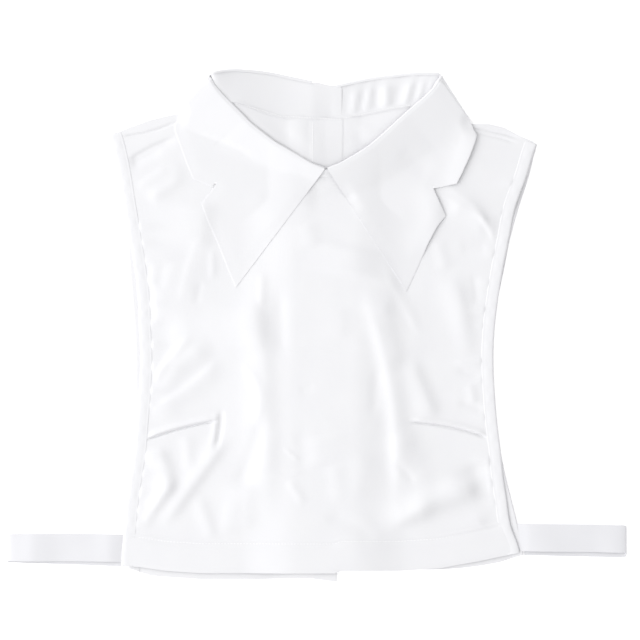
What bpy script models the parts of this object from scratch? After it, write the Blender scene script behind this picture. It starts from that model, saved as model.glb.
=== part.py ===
"""A detachable shirt collar with a half bodice, laid flat with its front up.

Metres, +Z up. The underside lies on z = 0, +Y runs from the hem to the neck, and the
origin is the middle of the laid outline on the underside. All the sizes and tables
below are in millimetres, x from the centre front line and y above the front hem.
"""

import math

import bmesh
import bpy
from mathutils import Vector

MM = 0.001

# Where the middle of the laid outline is, from the centre front line and the front hem.
MIDDLE = Vector((-7.5, 203.3, 0.0))

# The cloth.
CLOTH = 1.0
SEAM_GAP = 0.9
LAYER_GAP = 0.3
HEM_DEPTH = 25.0
TURNED_EXTRA = 0.6
BINDING_WIDTH = 9.5
BINDING_THICK = 1.4

# The back closure: a placket that overlaps at the centre back and rides on its buttons.
PLACKET_INNER_EDGE = 14.0
PLACKET_OUTER_EDGE = -12.0
PLACKET_SLANT = 5.0
PLACKET_HEIGHT = 370.0
BUTTON_DIAMETER = 10.0
BUTTON_THICK = 2.0
BUTTON_RIM = 1.2
BUTTON_DISH = 0.5
BUTTON_AT = {"button_neck": (-3.0, 386.0)}
for number in range(4):
    BUTTON_AT[f"button_placket_{number + 1}"] = (1.0, 320.0 - 78.0 * number)

# How high each layer lies: the outer back half on the buttons, the inner one on that.
OUTER_LIFT = BUTTON_THICK + LAYER_GAP
INNER_LIFT = OUTER_LIFT + CLOTH + LAYER_GAP
FALL_LIFT = 1.6
FRONT_LIFT = 2.0
FRONT_OVER_PLACKET = INNER_LIFT + CLOTH + TURNED_EXTRA + LAYER_GAP - FRONT_LIFT
FRONT_OVER_SHOULDER = 1.8

# Where a layer starts to rise onto the one below it and where it is fully up: heights above
# the hem for the collar's fall and the shoulder, x for the steps beside the placket.
FALL_RISE = (308.0, 344.0)
SHOULDER_RISE = (286.0, 310.0)
OUTER_FALL = (18.0, 44.0)
INNER_RISE = (-48.0, -18.0)
PLACKET_RISE = (-72.0, -24.0)
PLACKET_FALL = (22.0, 68.0)
TURNED_RISE = (-0.8, 0.2)

# The collar: the leaf's gap over the front, the radius of its roll over the stand and how far
# the roll starts and turns below the fold, its height under the back, how far the stand stays
# below the fold, and how far the leaf's edge is below the fold where it turns to the back.
LEAF_CLEAR = 1.6
LEAF_ROLL = 1.5
ROLL_START = 0.6
ROLL_TURN = 0.3
LEAF_UNDER = 0.5
STAND_SHORT = 2.15
TURN_DROP = 3.2

# The bindings' rows stop this far below the shoulder line, where the tape turns over.
SHOULDER_SHORT = 1.5

# The side straps, each a band folded in two.
STRAP_WIDTH = 22.5
STRAP_THICK = 1.0
STRAP_TURN = 1.0

# Distance of each armhole edge from the centre line, at heights above the hem:
# height, front left, back left, front right, back right
ARMHOLES = (
    (0, 168, 162, 160, 163),
    (20, 167, 162, 158, 161),
    (40, 165, 162, 151, 157),
    (60, 163, 160, 148, 152),
    (80, 160, 157, 145, 147),
    (100, 157, 155, 143, 143),
    (125, 155, 155, 140, 140),
    (150, 153, 156, 138, 137),
    (175, 152, 156, 137, 136),
    (200, 153, 157, 138, 138),
    (225, 154, 159, 141, 141),
    (250, 157, 161, 145, 146),
    (275, 161, 163, 150, 151),
    (300, 165, 166, 155, 158),
    (325, 169, 169, 164, 166),
    (345, 173, 173, 170, 171),
    (362, 178, 178, 177, 177),
)

# Lines across the garment, as x, y.
SHOULDER_LEFT = ((-178, 359), (-168, 362), (-161, 365), (-144, 371), (-128, 375), (-119, 376), (-91, 383))
SHOULDER_RIGHT = ((89, 384), (117, 368), (134, 368), (146, 365), (159, 358), (174, 352))
FRONT_NECK = (
    (-91, 383), (-80, 371), (-66, 358), (-45, 343), (-28, 334), (-15, 326),
    (0, 321), (16, 326), (30, 334), (45, 344), (66, 361), (79, 373), (89, 384),
)
BACK_NECK_LEFT = ((-91, 383), (-72, 385), (-62, 380), (-52, 377), (-38, 373), (-21, 372), (14, 370))
BACK_NECK_RIGHT = ((-12, 371), (16, 372), (28, 374), (44, 378), (61, 381), (70, 382), (89, 384))
FRONT_HEM = (
    (-168, 6), (-152, 5), (-132, 2), (-103, 0), (7, 0), (12, 2), (61, 2), (93, 4), (126, 10), (160, 17),
)
BACK_HEM_LEFT = ((-162, 4), (-144, -2), (-132, -3), (-103, -5), (-54, -5), (-13, -4), (9, -7))
BACK_HEM_RIGHT = ((-12, 2), (93, 3), (110, 4), (126, 6), (143, 9), (161, 15))

# The collar's sections from the centre front round the side to the centre back. Each
# runs from the neck seam over the fold at the stand's top to the leaf's free edge:
# lay, seam x, seam y, fold x, fold y, fold height, edge x, edge y, width of the leaf's slope
COLLAR_LEFT = (
    ("front", -1, 324, -1, 332, 10, -74, 234, 26),
    ("front", -12, 326.2, -11, 335.8, 10, -80, 248, 28),
    ("front", -20, 330.8, -20, 341, 10, -89, 271, 30),
    ("front", -30, 336.5, -31, 347.5, 10, -97, 289, 32),
    ("front", -41, 342.5, -42, 354, 9.9, -102, 303, 34),
    ("front", -59, 354.5, -60, 368, 9.9, -92, 316, 37),
    ("front", -66, 360, -67, 375, 9.8, -109, 323, 40),
    ("front", -72, 366, -74, 382, 9.8, -114, 335, 45),
    ("front", -79, 373, -82, 390, 9.7, -119, 349, 50),
    ("front", -85, 379, -89, 398, 9.5, -124, 364, 54),
    ("front", -87, 382, -93, 404, 8.9, -122, 371, 56),
    ("front", -88, 384, -94.5, 406, 8, -120.5, 377, 57),
    ("turn", -88.5, 385.5, -96, 408, 6.5, -119.5, 379, 57),
    ("turn", -88, 386, -95, 409.5, 4, -118.5, 378, 57),
    ("back", -86, 386, -92, 411, 0, -116, 370, 57),
    ("back", -72, 386, -75, 413, 0, -91, 357, 57),
    ("back", -52, 378, -50, 411, 0, -58, 354, 57),
    ("back", -34, 373.6, -30, 407, 0, -34, 353, 57),
    ("back", -11, 372.4, -11, 403, 0, -11, 352, 57),
)
COLLAR_RIGHT = (
    ("front", 1, 324, 1, 332, 10, 66, 231, 26),
    ("front", 12, 326, 12, 336.5, 10, 75, 250, 28),
    ("front", 20, 329.8, 20, 341, 10, 84, 271, 30),
    ("front", 30, 335.5, 30, 347, 10, 91, 284, 32),
    ("front", 41, 343, 40, 354.5, 9.9, 98, 293, 34),
    ("front", 59, 357, 59, 371.5, 9.9, 88, 315, 37),
    ("front", 66, 363, 66, 378, 9.8, 107, 319, 40),
    ("front", 72, 369, 73, 384, 9.8, 112, 329, 45),
    ("front", 78, 375, 80, 390, 9.7, 117, 340, 50),
    ("front", 84, 381, 87, 397, 9.5, 123, 357, 54),
    ("front", 86, 384, 91, 403, 8.9, 121, 363, 56),
    ("front", 86.5, 385.5, 92.5, 405, 8, 118.5, 369, 57),
    ("turn", 87, 386.5, 94, 407, 6.5, 118, 371.5, 57),
    ("turn", 86.5, 387, 93.5, 408.5, 4, 117, 371, 57),
    ("back", 85, 386, 90, 410, 0, 113, 364, 57),
    ("back", 70, 383, 73, 410, 0, 93, 354, 57),
    ("back", 52, 380.5, 53, 408, 0, 61, 353, 57),
    ("back", 34, 376.5, 32, 405, 0, 32, 352, 57),
    ("back", 9, 372.5, 9, 400, 0, 9, 349, 57),
)
# The slope falls more steeply towards its foot, which is rounded off by this share.
SLOPE_POWER = 1.2
SLOPE_ROUNDED = 0.012
# The stand's ends past the leaves, which button over each other: seam x, seam y, top x, top y
STAND_END_INNER = ((2, 371.5, 2, 399.5), (PLACKET_INNER_EDGE, 371, PLACKET_INNER_EDGE, 397))
STAND_END_OUTER = ((-2, 372.5, -2, 398.5), (PLACKET_OUTER_EDGE, 372.5, PLACKET_OUTER_EDGE, 398))

# The side straps: armhole columns of the front and back corners, fold x, then the middle
# line's y at the upper layer's end, at its fold, at the lower layer's fold and at its end
STRAPS = {
    "side_strap_left": (1, 2, -261.0, 20.5, 21.0, 20.0, 16.5),
    "side_strap_right": (3, 4, 246.0, 29.0, 28.0, 24.0, 26.0),
}

# The front's main folds, soft ridges: start x, y, end x, y, bow, width to the left of the run,
# width to its right, height
FRONT_FOLDS = (
    (37, 222, 60, 68, 7, 11, 7, 2.3),
    (-58, 236, -50, 60, 3, 10, 14, 2.0),
    (-126, 193, -52, 204, 3, 16, 14, 1.6),
    (-85, 106, -130, 45, 0, 5, 8, 1.7),
    (-126, 74, -153, 40, 0, 5, 8, 2.6),
    (-66, 72, -68, 35, 0, 10, 14, 1.3),
    (68, 47, 140, 76, 5, 18, 8, 6.0),
    (62, 31, 140, 46, -3, 7, 7, 1.6),
    (103, 300, 132, 283, 3, 7, 8, 1.4),
    (-146, 308, -118, 330, 0, 9, 9, 0.8),
    (-142, 152, -98, 184, 3, 8, 10, 1.8),
    (103, 240, 123, 181, 0, 6, 10, 1.9),
    (63, 114, 80, 75, 0, 18, 9, 2.6),
    (69, 172, 87, 128, 0, 7, 12, 1.9),
    (-101, 303, -104, 268, 0, 9, 26, 1.5),
)
FOLD_FADE = 22.0


def clear_scene():
    for obj in list(bpy.data.objects):
        bpy.data.objects.remove(obj, do_unlink=True)


def ramp(value, low, high):
    """0 up to low and 1 from high on, with a smooth rise between them."""
    t = min(max((value - low) / (high - low), 0.0), 1.0)
    return t * t * (3.0 - 2.0 * t)


def along(line, x):
    """The y at x of a line across the garment, with straight runs between its points."""
    for (x0, y0), (x1, y1) in zip(line, line[1:]):
        if x <= x1:
            break
    t = min(max((x - x0) / (x1 - x0), 0.0), 1.0)
    return y0 + (y1 - y0) * t


def armhole(column, y):
    """The armhole edge's distance from the centre line, on a smooth curve through the table."""
    rows = [(row[0], row[column]) for row in ARMHOLES]
    k = max(i for i in range(len(rows) - 1) if rows[i][0] <= max(y, 0.0))
    before, (y0, d0), (y1, d1) = rows[max(k - 1, 0)], rows[k], rows[k + 1]
    after = rows[min(k + 2, len(rows) - 1)]
    t = min(max((y - y0) / (y1 - y0), 0.0), 1.0)
    slope0 = (d1 - before[1]) / (y1 - before[0]) * (y1 - y0)
    slope1 = (after[1] - d0) / (after[0] - y0) * (y1 - y0)
    return (
        (2 * t**3 - 3 * t**2 + 1) * d0
        + (t**3 - 2 * t**2 + t) * slope0
        + (3 * t**2 - 2 * t**3) * d1
        + (t**3 - t**2) * slope1
    )


def placket_edge(offset, y):
    """The x of a centre-back edge, which leans a little to the left towards the hem."""
    return offset - PLACKET_SLANT * (1.0 - y / PLACKET_HEIGHT)


def over_fall(y):
    """How far the back halves are lifted where the collar's fall lies under them."""
    return FALL_LIFT * ramp(y, *FALL_RISE)


def outer_under(x, y):
    """The underside of the outer back half, and of what is sewn on level with it."""
    return max(over_fall(y), OUTER_LIFT * (1.0 - ramp(x, *OUTER_FALL)))


def inner_under(x, y):
    """The underside of the inner back half, which steps up onto the outer one."""
    return max(over_fall(y), INNER_LIFT * ramp(x, *INNER_RISE))


def inner_over(x, y):
    """The inner half's upper side, thicker where its placket edge is turned in."""
    turned = TURNED_EXTRA * ramp(x - placket_edge(PLACKET_OUTER_EDGE, y), *TURNED_RISE)
    return inner_under(x, y) + CLOTH + turned


def fold_rise(x, y):
    """How far the front's folds lift it off the layers below."""
    rise = 0.0
    for x0, y0, x1, y1, bow, left_width, right_width, height in FRONT_FOLDS:
        run = Vector((x1 - x0, y1 - y0))
        side = Vector((-run.y, run.x)).normalized()
        away = Vector((x - x0, y - y0))
        t = away.dot(run) / run.length_squared
        ends = ramp(t, -0.15, 0.2) * (1.0 - ramp(t, 0.8, 1.15))
        across = away.dot(side) - bow * math.sin(math.pi * min(max(t, 0), 1))
        across /= left_width if across > 0.0 else right_width
        rise += height * ends * math.exp(-across * across)
    return rise


def front_under(x, y):
    """The underside of the front without its folds."""
    placket = FRONT_OVER_PLACKET * ramp(x, *PLACKET_RISE) * (1.0 - ramp(x, *PLACKET_FALL))
    return FRONT_LIFT + max(placket, FRONT_OVER_SHOULDER * ramp(y, *SHOULDER_RISE))


def front_folded(x, y):
    """The underside of the front with its folds, which die out towards the sewn edges."""
    edge_left = x + armhole(1, y) - BINDING_WIDTH
    edge_right = armhole(3, y) - BINDING_WIDTH - x
    fade = ramp(min(edge_left, edge_right, y - HEM_DEPTH), 0.0, FOLD_FADE)
    return front_under(x, y) + fade * fold_rise(x, y)


def front_over(x, y):
    return front_folded(x, y) + CLOTH


def material(name, colour, roughness):
    mat = bpy.data.materials.new(name)
    mat.use_nodes = True
    shader = mat.node_tree.nodes["Principled BSDF"]
    shader.inputs["Base Color"].default_value = (*colour, 1.0)
    shader.inputs["Roughness"].default_value = roughness
    shader.inputs["Metallic"].default_value = 0.0
    return mat


def add_object(name, bm, mat, collection):
    """The mesh in millimetres becomes an object in metres about the laid middle."""
    for vert in bm.verts:
        vert.co = (vert.co - MIDDLE) * MM
    mesh = bpy.data.meshes.new(name)
    bm.to_mesh(mesh)
    bm.free()
    mesh.materials.append(mat)
    obj = bpy.data.objects.new(name, mesh)
    collection.objects.link(obj)
    return obj


def grid(columns, rows, place):
    """A bmesh grid whose vertex in column i of row j lies at place(i, j)."""
    bm = bmesh.new()
    bmesh.ops.create_grid(bm, x_segments=columns - 1, y_segments=rows - 1, size=0.5)
    for vert in bm.verts:
        i = round((vert.co.x + 0.5) * (columns - 1))
        j = round((vert.co.y + 0.5) * (rows - 1))
        vert.co = Vector(place(i, j))
    return bm


def laid_panel(name, across, rows, sides, hem, top, under, over, hem_extra, mat, collection):
    """A cloth wall between two side edges, a hem and a top line, hem_extra thicker at the hem."""
    left, right = sides
    step = 1.0
    hem_rows = (0.0, HEM_DEPTH * 0.5, HEM_DEPTH, HEM_DEPTH + step)

    def corner(share, line, y):
        """Where this share of the width meets the line across."""
        for _ in range(12):
            x = left(y) + share * (right(y) - left(y))
            y = along(line, x)
        return y

    def place(i, j):
        share = across[i]
        low = corner(share, hem, 0.0)
        high = corner(share, top, 360.0)
        if j < len(hem_rows):
            y = low + hem_rows[j]
        else:
            start = low + hem_rows[-1]
            y = start + (high - start) * (j - len(hem_rows) + 1) / (rows - len(hem_rows))
        x = left(y) + share * (right(y) - left(y))
        return x, y, under(x, y)

    bm = grid(len(across), rows, place)
    lower = {vert: vert.co.copy() for vert in bm.verts}
    raised = bmesh.ops.extrude_face_region(bm, geom=bm.faces[:], use_keep_orig=True)
    for vert in raised["geom"]:
        if isinstance(vert, bmesh.types.BMVert) and vert not in lower:
            above_hem = vert.co.y - along(hem, vert.co.x)
            turned = hem_extra * (1.0 - ramp(above_hem, HEM_DEPTH + 0.1, HEM_DEPTH + step - 0.1))
            vert.co.z = over(vert.co.x, vert.co.y) + turned
    bmesh.ops.recalc_face_normals(bm, faces=bm.faces)
    return add_object(name, bm, mat, collection)


def wall(name, rows, thick, mat, collection):
    """A cloth wall of even thickness about a sheet given as rows of points."""
    bm = grid(len(rows[0]), len(rows), lambda i, j: rows[j][i])
    bmesh.ops.recalc_face_normals(bm, faces=bm.faces)
    obj = add_object(name, bm, mat, collection)
    solid = obj.modifiers.new("Cloth", "SOLIDIFY")
    solid.thickness = thick * MM
    solid.offset = 0.0
    solid.use_even_offset = True
    solid.use_quality_normals = True
    solid.use_rim = True
    return obj


def shares(count):
    return [k / (count - 1) for k in range(count)]


def make_panels(mat, collection):
    inset = BINDING_WIDTH + SEAM_GAP
    front_top = SHOULDER_LEFT[:-1] + FRONT_NECK + SHOULDER_RIGHT[1:]
    laid_panel(
        "front_panel", shares(33), 32,
        (lambda y: inset - armhole(1, y), lambda y: armhole(3, y) - inset),
        FRONT_HEM, front_top, front_folded, front_over, TURNED_EXTRA, mat, collection,
    )
    laid_panel(
        "back_panel_left", shares(17), 20,
        (lambda y: inset - armhole(2, y), lambda y: placket_edge(PLACKET_INNER_EDGE, y)),
        BACK_HEM_LEFT, SHOULDER_LEFT[:-1] + BACK_NECK_LEFT,
        inner_under, inner_over, 0.0, mat, collection,
    )
    laid_panel(
        "back_panel_right", shares(16), 20,
        (lambda y: placket_edge(PLACKET_OUTER_EDGE, y), lambda y: armhole(4, y) - inset),
        BACK_HEM_RIGHT, BACK_NECK_RIGHT + SHOULDER_RIGHT[1:],
        outer_under, lambda x, y: outer_under(x, y) + CLOTH, 0.0, mat, collection,
    )


def make_binding(name, side, front, back, shoulder, hems, mat, collection):
    """Folded tape along the front armhole, over the shoulder and down the back armhole."""
    steps = 24
    turn_steps = 4

    def section(column, hem, t, level):
        points = []
        for inward in (0.0, BINDING_WIDTH):
            low = along(hem, side * (armhole(column, 10.0) - inward))
            high = along(shoulder, side * (armhole(column, 360.0) - inward)) - SHOULDER_SHORT
            y = low + (high - low) * t
            x = side * (armhole(column, y) - inward)
            points.append(Vector((x, y, level(x, y))))
        return points

    def front_level(x, y):
        return front_under(x, y) + CLOTH / 2

    def back_level(x, y):
        return over_fall(y) + BINDING_THICK / 2

    rows = [section(front, hems[0], k / steps, front_level) for k in range(steps + 1)]
    down = [section(back, hems[1], 1.0 - k / steps, back_level) for k in range(steps + 1)]
    last, first = rows[-1], down[0]
    for k in range(1, turn_steps):
        angle = math.pi * k / turn_steps
        turn = []
        for upper, lower in zip(last, first):
            radius = (upper.z - lower.z) / 2
            point = upper.lerp(lower, k / turn_steps)
            point.z = lower.z + radius + radius * math.cos(angle)
            point.y += radius * math.sin(angle)
            turn.append(point)
        rows.append(turn)
    wall(name, rows + down, BINDING_THICK, mat, collection)


def collar_sections(table, under):
    """Each section's lay, seam, stand top, fold, rise from seam to fold, free edge and slope width."""
    found = []
    for lay, seam_x, seam_y, fold_x, fold_y, fold_z, edge_x, edge_y, slope in table:
        if lay == "front":
            seam_z = front_under(seam_x, seam_y) + CLOTH / 2
            edge_z = front_over(edge_x, edge_y) + LEAF_CLEAR
        elif lay == "back":
            seam_z = under(seam_x, seam_y) + CLOTH / 2
            fold_z = seam_z
            edge_z = LEAF_UNDER
        else:
            seam_z = FALL_LIFT + CLOTH
            edge_z = max(fold_z - TURN_DROP, LEAF_UNDER)
        seam = Vector((seam_x, seam_y, seam_z))
        fold = Vector((fold_x, fold_y, fold_z))
        rise = (fold - seam).normalized()
        edge = Vector((edge_x, edge_y, edge_z))
        found.append((lay, seam, fold - rise * STAND_SHORT, fold, rise, edge, slope))
    return found


def slope_left(across):
    """The share of the leaf's fall still to come at this share of its slope's width."""
    left = 1.0 - across**SLOPE_POWER
    return (left + math.sqrt(left * left + SLOPE_ROUNDED)) / 2


def make_leaf(name, table, under, side, mat, collection):
    """A leaf from the roll over the stand's top to its free edge, front, side and back."""
    sections = collar_sections(table, under)
    fall = (0.1, 0.2, 0.3, 0.42, 0.6, 0.8, 1.0)
    rows = []
    for k, (lay, _, _, fold, rise, edge, slope) in enumerate(sections):
        before = sections[max(k - 1, 0)][3]
        after = sections[min(k + 1, len(sections) - 1)][3]
        out = rise.cross(after - before).normalized() * -side
        if lay == "back":
            roll = Vector((fold.x, fold.y - ROLL_TURN, LEAF_UNDER))
        else:
            roll = fold - rise * ROLL_TURN + out * LEAF_ROLL
        row = [fold - rise * ROLL_START, roll]
        for share in fall:
            point = roll.lerp(edge, share)
            if lay == "front":
                laid = front_over(point.x, point.y) + LEAF_CLEAR
                high = roll.z - front_over(roll.x, roll.y) - LEAF_CLEAR
                point.z = laid + max(high, 0.0) * slope_left((point - fold).to_2d().length / slope)
            row.append(point)
        rows.append(row)
    wall(name, rows, CLOTH, mat, collection)


def make_stand(mat, collection):
    """The band round the neck, from the inner end at the back round the front to the outer end."""
    steps = 3
    inner = collar_sections(COLLAR_LEFT, inner_under)
    outer = collar_sections(COLLAR_RIGHT, outer_under)
    pairs = []
    for ends, under in ((STAND_END_INNER, inner_under), (STAND_END_OUTER, outer_under)):
        tail = []
        for seam_x, seam_y, top_x, top_y in ends:
            level = under(seam_x, seam_y) + CLOTH / 2
            tail.append((Vector((seam_x, seam_y, level)), Vector((top_x, top_y, level))))
        pairs.append(tail)
    stations = list(reversed(pairs[0]))
    stations += [section[1:3] for section in reversed(inner)]
    stations += [section[1:3] for section in outer]
    stations += pairs[1]
    rows = [[seam.lerp(top, k / steps) for k in range(steps + 1)] for seam, top in stations]
    wall("neck_stand", rows, CLOTH, mat, collection)


def make_strap(name, mat, collection):
    """A flat band from the front corner out to its fold and back under to the back corner."""
    front, back, fold_x, upper_y, turn_upper_y, turn_lower_y, lower_y = STRAPS[name]
    outward = math.copysign(1.0, fold_x)
    centre_x = fold_x - outward * (STRAP_TURN + STRAP_THICK / 2)
    low, high = STRAP_THICK / 2, STRAP_THICK / 2 + 2 * STRAP_TURN

    def across(x, y, z):
        return [(x, y + STRAP_WIDTH * half, z) for half in (-0.5, 0.5)]

    def sewn_end(column, y, z):
        return [(outward * (armhole(column, at[1]) + SEAM_GAP), at[1], z) for at in across(0.0, y, z)]

    rows = [sewn_end(front, upper_y, high)]
    turn_steps = 6
    for k in range(turn_steps + 1):
        angle = math.pi * k / turn_steps
        x = centre_x + outward * STRAP_TURN * math.sin(angle)
        y = turn_upper_y + (turn_lower_y - turn_upper_y) * k / turn_steps
        rows.append(across(x, y, low + STRAP_TURN * (1 + math.cos(angle))))
    rows.append(sewn_end(back, lower_y, low))
    wall(name, rows, STRAP_THICK, mat, collection)


def make_button(name, mat, collection):
    """A small turned button with a dished face, face down under the placket."""
    radius = BUTTON_DIAMETER / 2
    profile = (
        (0.0, BUTTON_DISH),
        (radius - BUTTON_RIM - 0.5, BUTTON_DISH),
        (radius - BUTTON_RIM, 0.0),
        (radius - 0.4, 0.0),
        (radius, 0.5),
        (radius, BUTTON_THICK - 0.5),
        (radius - 0.6, BUTTON_THICK),
        (0.0, BUTTON_THICK),
    )
    centre = Vector((*BUTTON_AT[name], 0.0))
    bm = bmesh.new()
    verts = [bm.verts.new(centre + Vector((r, 0.0, z))) for r, z in profile]
    edges = [bm.edges.new(pair) for pair in zip(verts, verts[1:])]
    bmesh.ops.spin(
        bm, geom=verts + edges, cent=centre, axis=(0, 0, 1),
        angle=2 * math.pi, steps=20, use_merge=True,
    )
    bmesh.ops.remove_doubles(bm, verts=bm.verts, dist=0.001)
    bmesh.ops.recalc_face_normals(bm, faces=bm.faces)
    add_object(name, bm, mat, collection)


def main():
    clear_scene()
    collection = bpy.data.collections.new("detachable_collar")
    bpy.context.scene.collection.children.link(collection)
    satin = material("White satin", (0.86, 0.86, 0.87), 0.38)
    collar_satin = material("White satin, interfaced", (0.86, 0.86, 0.87), 0.34)
    tape = material("Bias binding", (0.84, 0.84, 0.85), 0.5)
    strap = material("White strap", (0.78, 0.78, 0.79), 0.7)
    pearl = material("Resin button", (0.88, 0.87, 0.85), 0.2)
    make_panels(satin, collection)
    make_stand(collar_satin, collection)
    make_leaf("collar_leaf_left", COLLAR_LEFT, inner_under, -1.0, collar_satin, collection)
    make_leaf("collar_leaf_right", COLLAR_RIGHT, outer_under, 1.0, collar_satin, collection)
    make_binding(
        "armhole_binding_left", -1.0, 1, 2, SHOULDER_LEFT, (FRONT_HEM, BACK_HEM_LEFT), tape, collection
    )
    make_binding(
        "armhole_binding_right", 1.0, 3, 4, SHOULDER_RIGHT, (FRONT_HEM, BACK_HEM_RIGHT), tape, collection
    )
    for name in STRAPS:
        make_strap(name, strap, collection)
    for name in BUTTON_AT:
        make_button(name, pearl, collection)


main()
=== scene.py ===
"""The looks of a white satin detachable shirt collar with a half bodice, laid flat, front up.

Sizes are in millimetres of the laid garment, x from the centre front line and y above the
front hem, and become metres of the row frame when a piece is finished.
"""

import math

import bmesh
import bpy
import numpy as np
from mathutils import Matrix, Vector


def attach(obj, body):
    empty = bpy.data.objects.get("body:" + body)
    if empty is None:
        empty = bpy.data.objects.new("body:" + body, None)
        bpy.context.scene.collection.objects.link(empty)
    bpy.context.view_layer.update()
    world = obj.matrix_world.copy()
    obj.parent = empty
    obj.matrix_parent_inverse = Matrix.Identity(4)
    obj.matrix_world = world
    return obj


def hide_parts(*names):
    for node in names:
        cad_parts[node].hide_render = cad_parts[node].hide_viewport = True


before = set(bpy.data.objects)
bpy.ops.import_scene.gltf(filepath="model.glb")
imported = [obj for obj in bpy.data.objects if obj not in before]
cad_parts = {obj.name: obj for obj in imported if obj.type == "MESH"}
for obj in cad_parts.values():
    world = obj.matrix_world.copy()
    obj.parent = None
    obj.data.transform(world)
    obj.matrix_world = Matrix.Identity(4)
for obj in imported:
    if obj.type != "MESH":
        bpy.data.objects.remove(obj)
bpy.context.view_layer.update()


# The back halves: two plain cuts of satin that overlap at the centre back, each with its
# hem turned up and its placket edge turned in. They lie flat on the table. The neck
# opening shows the left half's turned facing and the one row of stitches along it.
MM = 0.001
# The middle of the laid outline, which is the origin of the row frame.
MIDDLE = Vector((-7.5, 203.3, 0.0))
SATIN_THICK = 0.45
PLACKET_INNER_EDGE = 14.0
PLACKET_OUTER_EDGE = -12.0
BINDING_WIDTH = 9.5
TUCKED_IN = 6.5
HEM_DEPTH = 25.0
HEM_EXTRA = 0.45
BUTTON_THICK = 2.0

# Distance of each armhole edge from the centre line, at heights above the hem:
# height, front left, back left, front right, back right
ARMHOLES = np.array((
    (0, 168, 162, 160, 163),
    (20, 167, 162, 158, 161),
    (40, 165, 162, 151, 157),
    (60, 163, 160, 148, 152),
    (80, 160, 157, 145, 147),
    (100, 157, 155, 143, 143),
    (125, 155, 155, 140, 140),
    (150, 153, 156, 138, 137),
    (175, 152, 156, 137, 136),
    (200, 153, 157, 138, 138),
    (225, 154, 159, 141, 141),
    (250, 157, 161, 145, 146),
    (275, 161, 163, 150, 151),
    (300, 165, 166, 155, 158),
    (325, 169, 169, 164, 166),
    (345, 173, 173, 170, 171),
    (362, 178, 178, 177, 177),
), float)
SHOULDER_LEFT = ((-178, 359), (-168, 362), (-161, 365), (-144, 371), (-128, 375), (-119, 376), (-91, 383))
SHOULDER_RIGHT = ((89, 384), (117, 368), (134, 368), (146, 365), (159, 358), (174, 352))
BACK_NECK_LEFT = (
    (-91, 383), (-72, 387), (-62, 382.5), (-52, 379.5), (-38, 375.5), (-21, 374.5), (14, 372.5),
)
BACK_NECK_RIGHT = (
    (-12, 373.5), (16, 374.5), (28, 376.5), (44, 380.5), (61, 383.5), (70, 384.5), (89, 384),
)
BACK_HEM_LEFT = ((-162, 4), (-144, -2), (-132, -3), (-103, -5), (-54, -5), (-13, -4), (9, -7))
BACK_HEM_RIGHT = ((-12, 2), (93, 3), (110, 4), (126, 6), (143, 9), (161, 15))

# Soft ridges of the back halves, troughs where the height is below zero:
# start x, y, end x, y, bow, width to the left of the run, width to its right, height
BACK_CREASES = (
    (-60, 372, -20, 330, 2, 5, 7, 0.5),
    (-40, 366, -14, 345, 0, 4, 5, -0.3),
    (24, 368, 60, 352, -2, 5, 6, 0.5),
    (20, 350, 52, 332, 0, 6, 8, 0.4),
    (-130, 250, -60, 200, 5, 9, 12, 0.35),
    (-120, 120, -50, 90, -4, 9, 12, 0.35),
    (60, 260, 120, 210, 5, 9, 12, 0.35),
    (50, 110, 120, 140, 4, 9, 12, 0.35),
)


def ramp(value, low, high):
    """0 up to low and 1 from high on, with a smooth rise between them."""
    t = np.clip((value - low) / (high - low), 0.0, 1.0)
    return t * t * (3.0 - 2.0 * t)


def along(line, x):
    """The y at x of a line across the garment, with straight runs between its points."""
    xs, ys = zip(*line)
    return np.interp(x, xs, ys)


def armhole(column, y):
    """The armhole edge's distance from the centre line, on a smooth curve through the table."""
    heights, reach = ARMHOLES[:, 0], ARMHOLES[:, column]
    y = np.asarray(y, float)
    k = np.clip(np.searchsorted(heights, np.maximum(y, 0.0), side="right") - 1, 0, len(heights) - 2)
    before, after = np.maximum(k - 1, 0), np.minimum(k + 2, len(heights) - 1)
    run = heights[k + 1] - heights[k]
    t = np.clip((y - heights[k]) / run, 0.0, 1.0)
    slope0 = (reach[k + 1] - reach[before]) / (heights[k + 1] - heights[before]) * run
    slope1 = (reach[after] - reach[k]) / (heights[after] - heights[k]) * run
    return (
        (2 * t**3 - 3 * t**2 + 1) * reach[k]
        + (t**3 - 2 * t**2 + t) * slope0
        + (3 * t**2 - 2 * t**3) * reach[k + 1]
        + (t**3 - t**2) * slope1
    )


def placket_edge(offset, y):
    """The x of a centre-back edge, which leans a little to the left towards the hem."""
    lean, height = 5.0, 370.0
    return offset - lean * (1.0 - y / height)


def over_fall(y):
    """How far the back halves are lifted where the collar's fall lies under them."""
    return 1.6 * ramp(y, 308, 344)


def outer_under(x, y):
    """The underside of the right back half, which lies on the buttons."""
    return np.maximum(over_fall(y), (BUTTON_THICK + 0.3) * (1.0 - ramp(x, 18, 44)))


def inner_under(x, y):
    """The underside of the left back half, which steps up onto the right one."""
    return np.maximum(over_fall(y), (BUTTON_THICK + 0.9) * ramp(x, -48, -18))


# The fold of the collar in plan, from the left shoulder over the centre front to the right.
NECK_FOLD = (
    (-93, 404), (-89, 398), (-82, 390), (-74, 382), (-67, 375), (-60, 368), (-42, 354),
    (-31, 347.5), (-20, 341), (-11, 335.8), (0, 332), (12, 336.5), (20, 341), (30, 347),
    (40, 354.5), (59, 371.5), (66, 378), (73, 384), (80, 390), (87, 397), (91, 403),
)


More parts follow.
